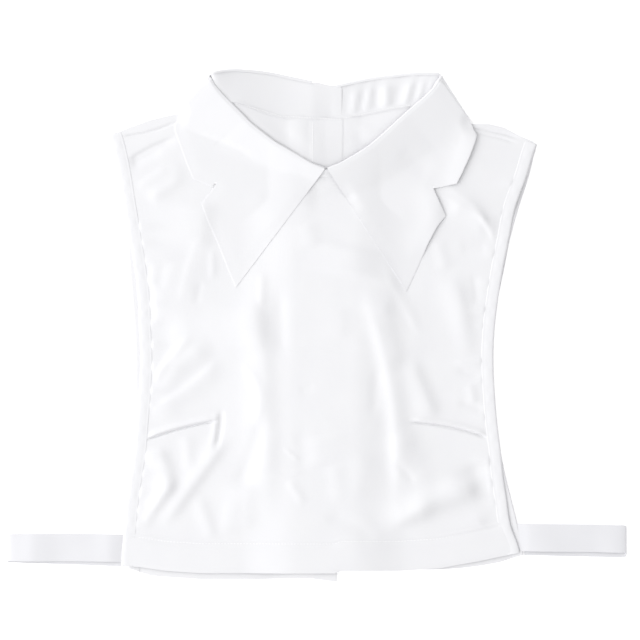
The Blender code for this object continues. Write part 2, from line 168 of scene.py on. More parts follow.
def neck_rise(x, y):
    """The cloth round the neck hollow is drawn up towards the collar's fold, more on the left."""
    inward = 0.75 * (y - along(NECK_FOLD, x))
    most = 4.9 - 3.4 * ramp(x, -20.0, 20.0) + 0.012 * np.abs(x) + 1.2 * ramp(-x, 40.0, 95.0)
    inside = np.exp(-((np.maximum(inward, 0.0) / 26.0) ** 2))
    return most * inside * (1.0 - ramp(-inward, 0.0, 7.0))


def creased(table, x, y):
    """The height that a table of soft ridges and troughs adds at each point."""
    total = np.zeros_like(x)
    for x0, y0, x1, y1, bow, left_width, right_width, height in table:
        run_x, run_y = x1 - x0, y1 - y0
        length = math.hypot(run_x, run_y)
        t = ((x - x0) * run_x + (y - y0) * run_y) / length**2
        ends = ramp(t, -0.15, 0.2) * (1.0 - ramp(t, 0.8, 1.15))
        side = ((y - y0) * run_x - (x - x0) * run_y) / length
        side = side - bow * np.sin(np.pi * np.clip(t, 0.0, 1.0))
        side = side / np.where(side > 0.0, left_width, right_width)
        total += height * ends * np.exp(-side * side)
    return total


def grid(columns, rows, place):
    """A bmesh grid whose vertex in column i of row j lies where place(i, j) says.

    place gives millimetres in the laid garment and metres of the flat cloth, which
    become the vertex's place and its UV.
    """
    bm = bmesh.new()
    bmesh.ops.create_grid(bm, x_segments=columns - 1, y_segments=rows - 1, size=0.5)
    bm.verts.index_update()
    at = np.array([vert.co[:2] for vert in bm.verts]) + 0.5
    i = np.rint(at[:, 0] * (columns - 1)).astype(int)
    j = np.rint(at[:, 1] * (rows - 1)).astype(int)
    points, flat = place(i, j)
    for vert, point in zip(bm.verts, points):
        vert.co = point
    layer = bm.loops.layers.uv.new("cloth")
    for face in bm.faces:
        for loop in face.loops:
            loop[layer].uv = flat[loop.vert.index]
    return bm


def finish_piece(name, bm, mat, node=None):
    """The millimetre mesh becomes a smooth piece in the row frame, its cut edges kept crisp."""
    for vert in bm.verts:
        vert.co = (vert.co - MIDDLE) * MM
    rims = [edge.is_boundary for edge in bm.edges]
    mesh = bpy.data.meshes.new(name)
    bm.to_mesh(mesh)
    bm.free()
    mesh.shade_smooth()
    for edge, rim in zip(mesh.edges, rims):
        edge.use_edge_sharp = rim
    mesh.materials.append(mat)
    obj = bpy.data.objects.new(name, mesh)
    bpy.context.scene.collection.objects.link(obj)
    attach(obj, "root")
    if node:
        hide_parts(node)
    return obj


def give_thickness(obj, thick):
    """Makes the sheet a thin closed shell, half its thickness to each side."""
    shell = obj.modifiers.new("Cloth thickness", "SOLIDIFY")
    shell.thickness = thick * MM
    shell.offset = 0.0
    shell.use_quality_normals = True
    return obj


def linear(colour):
    """The linear RGBA of an sRGB hex colour."""
    channels = [int(colour[k : k + 2], 16) / 255 for k in (0, 2, 4)]
    return (*[c / 12.92 if c <= 0.04045 else ((c + 0.055) / 1.055) ** 2.4 for c in channels], 1.0)


def add_node(mat, kind, settings, inputs):
    """A node of that kind in the material, its sockets given a value or another node's output."""
    node = mat.node_tree.nodes.new(kind)
    for name, value in settings.items():
        setattr(node, name, value)
    for name, value in inputs.items():
        if isinstance(value, bpy.types.NodeSocket):
            mat.node_tree.links.new(value, node.inputs[name])
        else:
            node.inputs[name].default_value = value
    return node


def woven(name, colour, shade, rough, sheen, gloss, thread, float_length, relief, crumple, turn):
    """A woven cloth: threads of that spacing and float length, in mm, and a faint crumple."""
    mat = bpy.data.materials.new(name)
    mat.use_nodes = True
    shader = mat.node_tree.nodes["Principled BSDF"]
    cloth = add_node(mat, "ShaderNodeUVMap", {"uv_map": "cloth"}, {})
    across = add_node(
        mat, "ShaderNodeMapping", {},
        {
            "Vector": cloth.outputs["UV"],
            "Rotation": (0.0, 0.0, turn),
            "Scale": (1.0 / (thread * MM), 1.0 / (float_length * MM), 1.0),
        },
    )
    threads = add_node(
        mat, "ShaderNodeTexNoise", {}, {"Vector": across.outputs["Vector"], "Scale": 1.0, "Detail": 2.0}
    )
    place = add_node(mat, "ShaderNodeTexCoord", {}, {})
    handled = add_node(
        mat, "ShaderNodeTexNoise", {},
        {"Vector": place.outputs["Object"], "Scale": 1.0 / (24 * MM), "Detail": 3.0, "Roughness": 0.45},
    )
    tint = add_node(
        mat, "ShaderNodeMix", {"data_type": "RGBA"},
        {0: handled.outputs["Fac"], 6: linear(shade), 7: linear(colour)},
    )
    polish = add_node(
        mat, "ShaderNodeMapRange", {},
        {
            "Value": threads.outputs["Fac"],
            "From Min": 0.3, "From Max": 0.7, "To Min": rough - 0.04, "To Max": rough + 0.06,
        },
    )
    weave = add_node(
        mat, "ShaderNodeBump", {},
        {"Height": threads.outputs["Fac"], "Distance": relief * MM, "Strength": 1.0},
    )
    lie = add_node(
        mat, "ShaderNodeBump", {},
        {
            "Height": handled.outputs["Fac"], "Distance": crumple * MM, "Strength": 1.0,
            "Normal": weave.outputs["Normal"],
        },
    )
    for socket, source in (
        ("Base Color", tint.outputs[2]),
        ("Roughness", polish.outputs["Result"]),
        ("Normal", lie.outputs["Normal"]),
    ):
        mat.node_tree.links.new(source, shader.inputs[socket])
    shader.inputs["IOR"].default_value = 1.5
    shader.inputs["Specular IOR Level"].default_value = gloss
    shader.inputs["Sheen Weight"].default_value = sheen
    shader.inputs["Sheen Roughness"].default_value = 0.4
    return mat


def clouded(name, colour, shade, grain, rough):
    """A plain material whose colour clouds a little, in patches of that many mm."""
    mat = bpy.data.materials.new(name)
    mat.use_nodes = True
    shader = mat.node_tree.nodes["Principled BSDF"]
    place = add_node(mat, "ShaderNodeTexCoord", {}, {})
    cloud = add_node(
        mat, "ShaderNodeTexNoise", {}, {"Vector": place.outputs["Object"], "Scale": 1.0 / (grain * MM)}
    )
    tint = add_node(
        mat, "ShaderNodeMix", {"data_type": "RGBA"},
        {0: cloud.outputs["Fac"], 6: linear(colour), 7: linear(shade)},
    )
    mat.node_tree.links.new(tint.outputs[2], shader.inputs["Base Color"])
    shader.inputs["Roughness"].default_value = rough
    return mat


def spread(*parts):
    """Positions along a piece, from parts given as a start, an end and a number of steps."""
    rows = [np.linspace(start, end, steps, endpoint=False) for start, end, steps in parts]
    return np.append(np.concatenate(rows), parts[-1][1])


def panel(across, hem_rows, up, left, right, hem, top, height):
    """A laid panel between two side edges, a hem and a top line, with its height function."""
    low_y, high_y = np.zeros(len(across)), np.full(len(across), 360.0)
    # The side edges lean, so the hem and the top line are met in a few rounds.
    for _ in range(12):
        low_y = along(hem, left(low_y) + across * (right(low_y) - left(low_y)))
        high_y = along(top, left(high_y) + across * (right(high_y) - left(high_y)))

    def place(i, j):
        start = low_y[i] + hem_rows[-1]
        share = up[np.clip(j - len(hem_rows) + 1, 0, len(up) - 1)]
        y = np.where(
            j < len(hem_rows),
            low_y[i] + hem_rows[np.minimum(j, len(hem_rows) - 1)],
            start + (high_y[i] - start) * share,
        )
        x = left(y) + across[i] * (right(y) - left(y))
        z = height(x, y, y - low_y[i])
        return np.stack([x, y, z], axis=1), np.stack([x, y], axis=1) * MM

    return grid(len(across), len(hem_rows) + len(up) - 1, place)


# White polyester satin, warp-faced, so its long floats give a smooth soft sheen. The real
# threads are 0.1 mm apart, drawn here at 0.7 mm so that a trace of the warp shows.
satin = woven(
    "White warp-faced satin", "E5E5E7", "E1E1E4", rough=0.44, sheen=0.12, gloss=0.6,
    thread=0.7, float_length=14.0, relief=0.02, crumple=0.35, turn=0.0,
)

HEM_ROWS = np.array((0.0, 0.8, 2.5, 6.0, 12.0, 18.0, 22.5, 24.0, 24.8, 25.6, 26.6, 28.0))


def hem_relief(above, extra):
    """A turned hem is thicker, rolls over at its fold and dips at its row of stitches."""
    turned = extra * (1.0 - ramp(above, HEM_DEPTH + 0.4, HEM_DEPTH + 2.2))
    rolled = -0.45 * (1.0 - ramp(above, 0.0, 2.2))
    sewn = -0.45 * np.exp(-(((above - HEM_DEPTH + 0.8) / 0.8) ** 2))
    return turned + rolled + sewn


def back_left_height(x, y, above):
    """The left back half with its turned facing, which ends 26 mm in from the edge."""
    step = 0.25 * ramp(x - placket_edge(PLACKET_OUTER_EDGE, y), -0.8, 0.4)
    edge = -0.15 * ramp(x - placket_edge(PLACKET_INNER_EDGE, y), -1.0, 0.0)
    lift = inner_under(x, y) + 0.35 + step + edge + neck_rise(x, y)
    return lift + hem_relief(above, HEM_EXTRA) * 0.6 + creased(BACK_CREASES, x, y)


def back_right_height(x, y, above):
    """The right back half, which rises to meet the left one's placket edge."""
    edge = -0.3 * (1.0 - ramp(x - placket_edge(PLACKET_OUTER_EDGE, y), 0.0, 1.6))
    beside = 0.4 * np.exp(-(((x - placket_edge(PLACKET_INNER_EDGE, y)) / 8.0) ** 2))
    lift = outer_under(x, y) + 0.45 + edge + beside + neck_rise(x, y)
    return lift + hem_relief(above, HEM_EXTRA) * 0.6 + creased(BACK_CREASES, x, y)


side_inset = BINDING_WIDTH - TUCKED_IN
back_up = spread((0.0, 0.85, 70), (0.85, 1.0, 30))
back_left = finish_piece(
    "back_left_satin",
    panel(
        spread((0.0, 0.05, 6), (0.05, 0.76, 50), (0.76, 0.88, 14), (0.88, 0.98, 10), (0.98, 1.0, 4)),
        HEM_ROWS, back_up,
        lambda y: side_inset + 1.0 - armhole(2, y), lambda y: placket_edge(PLACKET_INNER_EDGE, y),
        BACK_HEM_LEFT, SHOULDER_LEFT[:-1] + BACK_NECK_LEFT, back_left_height,
    ),
    satin, "back_panel_left",
)
give_thickness(back_left, SATIN_THICK)
back_right = finish_piece(
    "back_right_satin",
    panel(
        spread((0.0, 0.03, 5), (0.03, 0.95, 64), (0.95, 1.0, 6)),
        HEM_ROWS, back_up,
        lambda y: placket_edge(PLACKET_OUTER_EDGE, y), lambda y: armhole(4, y) - side_inset - 1.0,
        BACK_HEM_RIGHT, BACK_NECK_RIGHT + SHOULDER_RIGHT[1:], back_right_height,
    ),
    satin, "back_panel_right",
)
give_thickness(back_right, SATIN_THICK)


def lengths_along(points):
    """How far along its line each of the points lies."""
    return np.concatenate([[0.0], np.cumsum(np.linalg.norm(np.diff(points, axis=0), axis=1))])


def stitches(name, runs, pitch):
    """Short rounded stitches along each run of points, joined into one piece."""
    bm = bmesh.new()
    for run in runs:
        points = np.stack(run, axis=1)
        length = lengths_along(points)
        for start in np.arange(0.4, length[-1] - pitch, pitch):
            ends = [
                Vector([np.interp(d, length, points[:, k]) for k in range(3)])
                for d in (start, start + pitch * 0.84)
            ]
            turn = (ends[1] - ends[0]).to_track_quat("X", "Z").to_matrix().to_4x4()
            size = Matrix.Diagonal((pitch * 0.42, 0.3, 0.2, 1.0))
            place = Matrix.Translation((ends[0] + ends[1]) / 2) @ turn @ size
            bmesh.ops.create_uvsphere(bm, u_segments=6, v_segments=5, radius=1.0, matrix=place)
    bmesh.ops.recalc_face_normals(bm, faces=bm.faces)
    return finish_piece(name, bm, thread)


# Polyester thread of the cloth's own white. It is lighter than the satin round it: partly the thread's own
# colour, partly a painted highlight for the light that the seam and hem ridges catch.
thread = clouded("White polyester thread", "F8F8F8", "EEEEF0", grain=0.3, rough=0.5)
facing_y = np.linspace(20, 370, 300)
facing_x = placket_edge(PLACKET_OUTER_EDGE, facing_y) + 1.3
facing_z = back_left_height(facing_x, facing_y, np.full_like(facing_x, 60.0)) + SATIN_THICK / 2
placket_stitches = stitches("placket_stitches", [(facing_x, facing_y, facing_z)], 2.6)


# The front: one cut of satin with two bust darts and a hem turned up 25 mm and sewn with
# one row of stitches. It lies loosely on the back, so it keeps the folds it was put down
# with, and the bindings draw its sides into short puckers.
FRONT_NECK = (
    (-91, 383), (-80, 371), (-66, 359), (-45, 346), (-28, 337.5), (-15, 330),
    (0, 326), (16, 330), (30, 337.5), (45, 347), (66, 362), (79, 373), (89, 384),
)
FRONT_HEM = (
    (-168, 6), (-152, 5), (-132, 2), (-103, 0), (7, 0), (12, 2), (61, 2), (93, 4), (126, 10), (160, 17),
)

# The main folds, which the solid has too, in the columns of BACK_CREASES.
FRONT_FOLDS = (
    (37, 222, 60, 68, 7, 11, 7, 2.3),
    (-58, 236, -50, 60, 3, 10, 14, 2.0),
    (-126, 193, -52, 204, 3, 16, 14, 1.6),
    (-85, 106, -130, 45, 0, 5, 8, 1.7),
    (-126, 74, -153, 40, 0, 5, 8, 2.6),
    (-66, 72, -68, 35, 0, 10, 14, 1.3),
    (52, 38, 120, 69, 5, 18, 8, 3.0),
    (66, 46, 150, 72, 4, 12, 8, 2.6),
    (62, 31, 140, 46, -3, 7, 7, 1.6),
    (103, 300, 132, 283, 3, 7, 8, 1.4),
    (-146, 308, -118, 330, 0, 9, 9, 0.8),
    (-142, 152, -98, 184, 3, 8, 10, 1.8),
    (103, 240, 123, 181, 0, 8, 11, 1.6),
    (63, 114, 80, 75, 0, 12, 13, 1.2),
    (69, 172, 87, 128, 0, 7, 12, 1.9),
    (-101, 303, -104, 268, 0, 9, 26, 1.5),
)
# The finer creases of the front.
FRONT_CREASES = (
    (-130, 262, -132, 205, 0, 34, 14, 1.2),
    (-74, 222, -66, 70, 2, 14, 22, 0.9),
    (-14, 312, 28, 314, 0, 8, 16, -1.5),
    (84, 66, 130, 84, 2, 9, 8, -1.0),
    (84, 54, 132, 69, 2, 6, 9, -1.3),
    (120, 88, 128, 66, 0, 9, 9, -0.8),
    (-104, 273, -118, 224, -1, 12, 4, 0.5),
    (-103, 238, -106, 221, 0, 3, 3, -0.4),
    (-93, 263, -93, 242, 0, 3, 2.5, 0.5),
    (-132, 255, -137, 235, 0, 5, 5, -0.5),
    (-61, 222, -57, 183, 0, 8, 32, 1.0),
    (-38, 230, -36, 181, 0, 5, 5, -0.5),
    (-114, 191, -141, 158, -1, 4, 3, 0.9),
    (-90, 171, -139, 134, 2, 9, 4, 1.2),
    (-66, 169, -57, 124, 7, 5, 3, 0.5),
    (-53, 124, -70, 74, 2, 8, 6, -0.8),
    (-53, 244, -53, 220, 0, 4, 2.5, 0.5),
    (20, 268, 16, 244, 2, 24, 24, 1.3),
    (51, 242, 43, 212, 3, 9, 14, 1.1),
    (-16, 286, -11, 268, 0, 8, 8, 0.7),
    (10, 217, 11, 193, 0, 8, 12, 0.5),
    (48, 250, 75, 199, 0, 5, 3, 0.5),
    (49, 224, 62, 173, 0, 26, 8, 1.2),
    (-7, 111, -3, 89, 0, 20, 12, 0.6),
    (-45, 81, -20, 83, -2, 1.5, 1.5, 0.4),
    (-33, 102, -23, 93, 0, 1.5, 1.8, 0.35),
    (-30, 75, -19, 58, 0, 4, 3, 0.5),
    (-21, 150, -11, 153, 0, 3, 4, -0.3),
    (-114, 112, -112, 84, 0, 6, 5, 0.7),
    (-138, 101, -128, 66, 2, 6, 10, 1.4),
    (-104, 60, -93, 30, 0, 5, 6, 0.7),
    (58, 91, 72, 75, 0, 3, 3, -0.5),
    (121, 244, 124, 221, 0, 4, 3, -0.4),
    (107, 173, 130, 170, 0, 1.2, 2, 0.5),
    (109, 166, 130, 161, 0, 2.5, 3, -0.4),
    (95, 318, 139, 272, 7, 9, 2.5, 0.8),
    (97, 309, 134, 283, 6, 4, 2.5, 0.7),
    (100, 306, 132, 287, 2, 2, 3.5, 0.8),
    (91, 273, 98, 250, 0, 6, 5, 0.6),
    (-153, 317, -131, 331, 0, 3, 4, 0.5),
    (-143, 308, -120, 322, 0, 3, 4, 0.4),
    (-21, 117, -18, 84, 1, 7, 6, -0.4),
    (-86, 132, -90, 103, 1, 1.6, 1.4, -1.3),
    (-90, 130, -93, 106, 1, 1.4, 2.5, 0.7),
    (-77, 60, -82, 32, 0, 8, 6, 0.5),
    (30, 99, 21, 60, 3, 9, 9, 0.4),
    (7, 89, 10, 60, 0, 8, 6, 0.5),
    (41, 165, 39, 132, 0, 5, 4, -0.5),
    (110, 140, 131, 134, 0, 3, 4, -0.5),
    (118, 154, 121, 140, 0, 4, 4, 0.5),
    (3, 47, 38, 30, 2, 5, 7, -0.6),
    (112, 268, 131, 267, 0, 5, 6, -0.4),
    (-35, 184, 26, 183, 0, 3.5, 1.4, -0.35),
    (-161, 338, -126, 356, 1, 2.0, 5, -1.1),
    (-160, 334, -136, 346, 0, 2.5, 4, -0.5),
    (-166, 358, -122, 370, -2, 0.9, 1.1, -1.1),
    (120, 364, 156, 357, 1, 0.9, 1.1, -1.0),
    (122, 360, 154, 353, 1, 0.9, 1.1, -0.7),
)
# The two bust darts, sewn in from the side: start x, y, end x, y, bow, depth of the seam line
DARTS = (
    (-149, 110, -91, 126, 1.5, 1.3),
    (134, 112, 71, 125, 2.5, 1.2),
)
# Puckers along each binding: height above the hem, length across, width, height
PUCKERS_LEFT = (
    (284, 16, 3.5, 0.9), (271, 12, 3, 0.7), (256, 9, 3, 0.5), (240, 14, 4, 0.6), (221, 10, 3, 0.7),
    (205, 9, 3, 0.5), (187, 12, 3, 0.9), (169, 14, 3.5, 0.9), (150, 12, 3, 0.9), (138, 8, 2.5, 0.5),
    (96, 12, 3.5, 0.8), (82, 10, 3, 0.7), (66, 14, 4, 1.0), (52, 12, 3, 0.8), (40, 8, 3, 0.5),
)
PUCKERS_RIGHT = (
    (320, 10, 3.5, 0.6), (296, 9, 3, 0.5), (262, 12, 3.5, 0.7), (238, 9, 3, 0.6), (216, 12, 3, 0.8),
    (203, 8, 2.5, 0.5), (174, 18, 2.2, 0.8), (158, 9, 3, 0.5), (128, 9, 3, 0.5), (92, 14, 4, 0.9),
    (74, 12, 3.5, 0.8), (58, 9, 3, 0.5), (40, 9, 3, 0.4),
)


def front_under(x, y):
    """The underside of the front without its folds."""
    placket = 3.5 * ramp(x, -72, -24) * (1.0 - ramp(x, 22, 68))
    return 2.0 + np.maximum(placket, 1.8 * ramp(y, 286, 310))


def front_edge_distance(x, y):
    """How far in from the left and from the right binding's seam each point lies."""
    left = x + armhole(1, y) - BINDING_WIDTH
    right = armhole(3, y) - BINDING_WIDTH - x
    return left, right


def front_folded(x, y):
    """The front with its main folds, as high as the solid's middle."""
    left, right = front_edge_distance(x, y)
    fade = ramp(np.minimum(np.minimum(left, right), y - HEM_DEPTH), 0.0, 22.0)
    return front_under(x, y) + 0.5 + fade * creased(FRONT_FOLDS, x, y)


def puckered(table, inward, y):
    """Short ridges that run in from the binding's seam."""
    total = np.zeros_like(y)
    for at, length, width, height in table:
        reach = np.exp(-((np.maximum(inward, 0.0) / length) ** 2))
        total += height * reach * ramp(inward, -1.5, 1.5) * np.exp(-(((y - at) / width) ** 2))
    return total


def darted(x, y):
    """A dart's seam is a sharp line with the cloth rolled up on its upper side."""
    total = np.zeros_like(x)
    for x0, y0, x1, y1, bow, depth in DARTS:
        run_x, run_y = x1 - x0, y1 - y0
        length = math.hypot(run_x, run_y)
        t = ((x - x0) * run_x + (y - y0) * run_y) / length**2
        up = ((y - y0) * run_x - (x - x0) * run_y) / length * math.copysign(1.0, run_x)
        up = up - bow * np.sin(np.pi * np.clip(t, 0.0, 1.0))
        ends = ramp(t, -0.1, 0.05) * (1.0 - ramp(t, 0.9, 1.05))
        roll = np.where(up > 0.0, np.exp(-((up / 3.2) ** 2)), np.exp(-((up / 0.9) ** 2)))
        total += ends * depth * (roll - 1.5 * np.exp(-(((up + 1.4) / 1.1) ** 2)))
    return total


def front_height(x, y, above):
    """The front with all its folds, creases, darts and puckers and its hem."""
    left, right = front_edge_distance(x, y)
    inside = ramp(np.minimum(left, right), -1.0, 6.0)
    fine = creased(FRONT_CREASES, x, y) + darted(x, y)
    puckers = puckered(PUCKERS_LEFT, left, y) + puckered(PUCKERS_RIGHT, right, y)
    puckers = puckers * ramp(above, HEM_DEPTH, HEM_DEPTH + 12.0)
    return front_folded(x, y) + inside * fine + puckers + hem_relief(above, HEM_EXTRA)


front = finish_piece(
    "front_satin",
    panel(
        spread((0.0, 0.08, 20), (0.08, 0.92, 118), (0.92, 1.0, 20)),
        HEM_ROWS,
        spread((0.0, 0.19, 32), (0.19, 0.33, 62), (0.33, 0.9, 104), (0.9, 1.0, 44)),
        lambda y: side_inset - armhole(1, y), lambda y: armhole(3, y) - side_inset,
        FRONT_HEM, SHOULDER_LEFT[:-1] + FRONT_NECK + SHOULDER_RIGHT[1:], front_height,
    ),
    satin, "front_panel",
)
give_thickness(front, SATIN_THICK)

hem_x = np.linspace(-154, 146, 301)
hem_y = along(FRONT_HEM, hem_x) + HEM_DEPTH - 0.8
hem_z = front_height(hem_x, hem_y, np.full_like(hem_x, HEM_DEPTH - 0.8)) + SATIN_THICK / 2
# The lighter thread of this row also paints the highlight along the hem's stitch line.
hem_stitches = stitches("front_hem_stitches", [(hem_x, hem_y, hem_z)], 2.6)


# The armhole bindings: bias tape folded round the raw edges of front and back in one run
# over the shoulder, and sewn down near its inner fold.

def unit(rows):
    """Each row as a vector of length 1."""
    return rows / np.linalg.norm(rows, axis=1)[:, None]


def binding(name, node, side, front_column, back_column, shoulder, hems, droop, curl, mat):
    """A U of tape, open towards the panel, along the front, over the shoulder and down the back.

    The front half's outer edge hangs lower by droop, the back half's curls up by curl.
    """
    steps, turn_steps = 230, 12
    # How far in from the outer edge and how high above the middle of the tape.
    section = np.array((
        (9.6, 0.16), (9.3, 0.32), (8.9, 0.38), (8.2, 0.3), (7.4, 0.4), (5.5, 0.52), (3.2, 0.52),
        (1.4, 0.46), (0.35, 0.3), (0.0, -0.05), (0.35, -0.36), (1.4, -0.45), (5.0, -0.45), (9.4, -0.42),
    ))

    def edge_points(column, hem, t, inward):
        low = along(hem, side * (armhole(column, 10.0) - inward))
        high = along(shoulder, side * (armhole(column, 360.0) - inward)) - 1.5
        y = low + (high - low) * t
        return side * (armhole(column, y) - inward), y

    t = np.linspace(0.0, 1.0, steps + 1)
    outer, inner = [], []
    for line, inward, lowered, curled in ((outer, 0.0, droop, curl), (inner, BINDING_WIDTH, 0.0, 0.0)):
        x, y = edge_points(front_column, hems[0], t, inward)
        line.append(np.stack([x, y, front_under(x, y) + 0.5 - lowered], axis=1))
        x2, y2 = edge_points(back_column, hems[1], t[::-1], inward)
        down = np.stack([x2, y2, over_fall(y2) + 0.7 + curled], axis=1)
        angle = np.pi * np.arange(1, turn_steps) / turn_steps
        share = (np.arange(1, turn_steps) / turn_steps)[:, None]
        turn = line[0][-1] * (1.0 - share) + down[0] * share
        radius = (line[0][-1][2] - down[0][2]) / 2
        turn[:, 2] = down[0][2] + radius + radius * np.cos(angle)
        turn[:, 1] += radius * np.sin(angle)
        line.extend([turn, down])
    outer, inner = np.concatenate(outer), np.concatenate(inner)
    inwards = unit(inner - outer)
    up = unit(np.cross(unit(np.gradient(outer, axis=0)), inwards) * side)
    length, around = lengths_along(outer), lengths_along(section)
    # The tape puffs up unevenly between its stitches.
    puff = 0.12 * np.sin(length / 2.9 + 1.3 * np.sin(length / 17.0)) + 0.08 * np.sin(length / 1.7 + side)

    def place(i, j):
        inward, level = section[i].T
        swell = 1.0 + puff[j] * (level > 0.5) * 1.6
        points = outer[j] + inwards[j] * inward[:, None] + up[j] * (level * swell)[:, None]
        return points, np.stack([around[i], length[j]], axis=1) * MM

    obj = finish_piece(name, grid(len(section), len(outer), place), mat, node)
    return give_thickness(obj, 0.3)


# Bias binding of the same satin, cut across the threads, so that it is duller.
bias_tape = woven(
    "White satin bias binding", "E5E5E7", "E1E1E4", rough=0.46, sheen=0.2, gloss=0.5,
    thread=0.7, float_length=6.0, relief=0.03, crumple=0.1, turn=0.785,
)
binding_left = binding(
    "binding_left", "armhole_binding_left", side=-1.0, front_column=1, back_column=2,
    shoulder=SHOULDER_LEFT, hems=(FRONT_HEM, BACK_HEM_LEFT), droop=0.2, curl=0.5, mat=bias_tape,
)
binding_right = binding(
    "binding_right", "armhole_binding_right", side=1.0, front_column=3, back_column=4,
    shoulder=SHOULDER_RIGHT, hems=(FRONT_HEM, BACK_HEM_RIGHT), droop=-0.35, curl=1.0, mat=bias_tape,
)


# The neck stand: one band of interfaced satin, sewn to the neckline all round and open at
# the centre back, where its left end lies on the right one. The leaves are sewn in at its top.
LEAF_CLEAR = 0.2
LEAF_UNDER = 0.5
# How far the stand's top stops below the fold that the leaves roll over.
STAND_BELOW_FOLD = 1.7

# The collar's sections from the centre front round the side to the centre back, from the
# neck seam over the fold to the leaf's free edge. Front sections have front 1, the ones
# where the leaf turns under have 0, and those at the back have -1:
# front, seam x, seam y, fold x, fold y, fold height, edge x, edge y, width of the leaf's slope
COLLAR_LEFT = (
    (1, -1, 324, -1, 332, 10, -74, 234, 12),
    (1, -12, 326.2, -11, 335.8, 10, -80, 248, 13),
    (1, -20, 330.8, -20, 341, 10, -89, 271, 16),
    (1, -30, 336.5, -31, 347.5, 10, -97, 289, 19),
    (1, -41, 342.5, -42, 354, 9.9, -102, 303, 23),
    (1, -59, 354.5, -60, 368, 9.9, -92, 316, 30),
    (1, -66, 360, -67, 375, 9.8, -109, 323, 34),
    (1, -72, 366, -74, 382, 9.8, -114, 335, 38),
    (1, -79, 373, -82, 390, 9.7, -119, 349, 42),
    (1, -85, 379, -89, 398, 9.5, -124, 364, 46),
    (1, -87, 382, -93, 404, 8.9, -122, 371, 48),
    (1, -88, 384, -94.5, 406, 8, -120.5, 377, 50),
    (0, -88.5, 385.5, -96, 408, 6.7, -119.5, 379, 57),
    (0, -88, 386, -95, 409.5, 5, -118.5, 378, 57),
    (-1, -86, 386, -92, 411, 0, -116, 370, 57),
    (-1, -72, 386, -75, 413, 0, -91, 357, 57),
    (-1, -52, 378, -50, 411, 0, -58, 354, 57),
    (-1, -34, 373.6, -30, 407, 0, -34, 353, 57),
    (-1, -11, 372.4, -11, 403, 0, -11, 352, 57),
)
COLLAR_RIGHT = (
    (1, 1, 324, 1, 332, 10, 66, 231, 26),
    (1, 12, 326, 12, 336.5, 10, 75, 250, 28),
    (1, 20, 329.8, 20, 341, 10, 84, 271, 30),
    (1, 30, 335.5, 30, 347, 10, 91, 284, 32),
    (1, 41, 343, 40, 354.5, 9.9, 98, 293, 34),
    (1, 59, 357, 59, 371.5, 9.9, 88, 315, 37),
    (1, 66, 363, 66, 378, 9.8, 107, 319, 40),
    (1, 72, 369, 73, 384, 9.8, 112, 329, 45),
    (1, 78, 375, 80, 390, 9.7, 117, 340, 50),
    (1, 84, 381, 87, 397, 9.5, 123, 357, 54),
    (1, 86, 384, 91, 403, 8.9, 121, 363, 56),
    (1, 86.5, 385.5, 92.5, 405, 8, 118.5, 369, 57),
    (0, 87, 386.5, 94, 407, 6.5, 118, 371.5, 57),
    (0, 86.5, 387, 93.5, 408.5, 4, 117, 371, 57),
    (-1, 85, 386, 90, 410, 0, 113, 364, 57),
    (-1, 70, 383, 73, 410, 0, 93, 354, 57),
    (-1, 52, 380.5, 53, 408, 0, 61, 353, 57),
    (-1, 34, 376.5, 32, 405, 0, 32, 352, 57),
    (-1, 9, 372.5, 9, 400, 0, 9, 349, 57),
)
# Up to this section the leaf's outline has sharp corners, and past it a smooth curve.
LAST_CORNER = 8
# The stand's ends past the leaves: seam x, seam y, top x, top y
STAND_END_INNER = (
    (2, 371.5, 2, 399.7), (8, 371.2, 8, 399.4), (11.2, 371, 11.2, 398.8), (13, 371, 13, 397),
    (13.9, 371, 13.9, 394.5), (14.3, 371.2, 14.3, 391.5),
)
STAND_END_OUTER = ((-2, 372.5, -2, 398.5), (-9, 372.5, -9, 398), (-12, 373, -12, 396))
# Upright puckers of the stand's right back half: x, half width, height, lean to the right
STAND_PUCKERS = (
    (17.5, 2.2, -0.6, 0), (24.5, 2.6, 0.9, 6), (30.3, 2.0, -0.5, 9), (35.7, 2.2, 0.8, 6),
    (41.8, 2.2, -0.5, 1), (49.2, 3.4, 1.2, 0), (58.2, 3.2, -0.6, 4), (66.4, 2.4, 1.0, 5),
    (71.3, 1.8, -0.3, 3), (76.3, 1.7, 0.7, 3), (83.6, 1.4, 0.5, 1),
)


def rounded(values, steps):
    """Each run of a table of rows cut into steps, on a smooth curve through the rows."""
    values = np.asarray(values, float)
    padded = np.concatenate([2 * values[:1] - values[1:2], values, 2 * values[-1:] - values[-2:-1]])
    rows = []
    for k in range(len(values) - 1):
        a, b, c, d = padded[k : k + 4]
        for t in np.arange(steps) / steps:
            rows.append(
                b + 0.5 * t * (c - a + t * (2 * a - 5 * b + 4 * c - d + t * (3 * (b - c) + d - a)))
            )
    rows.append(values[-1])
    return np.array(rows)


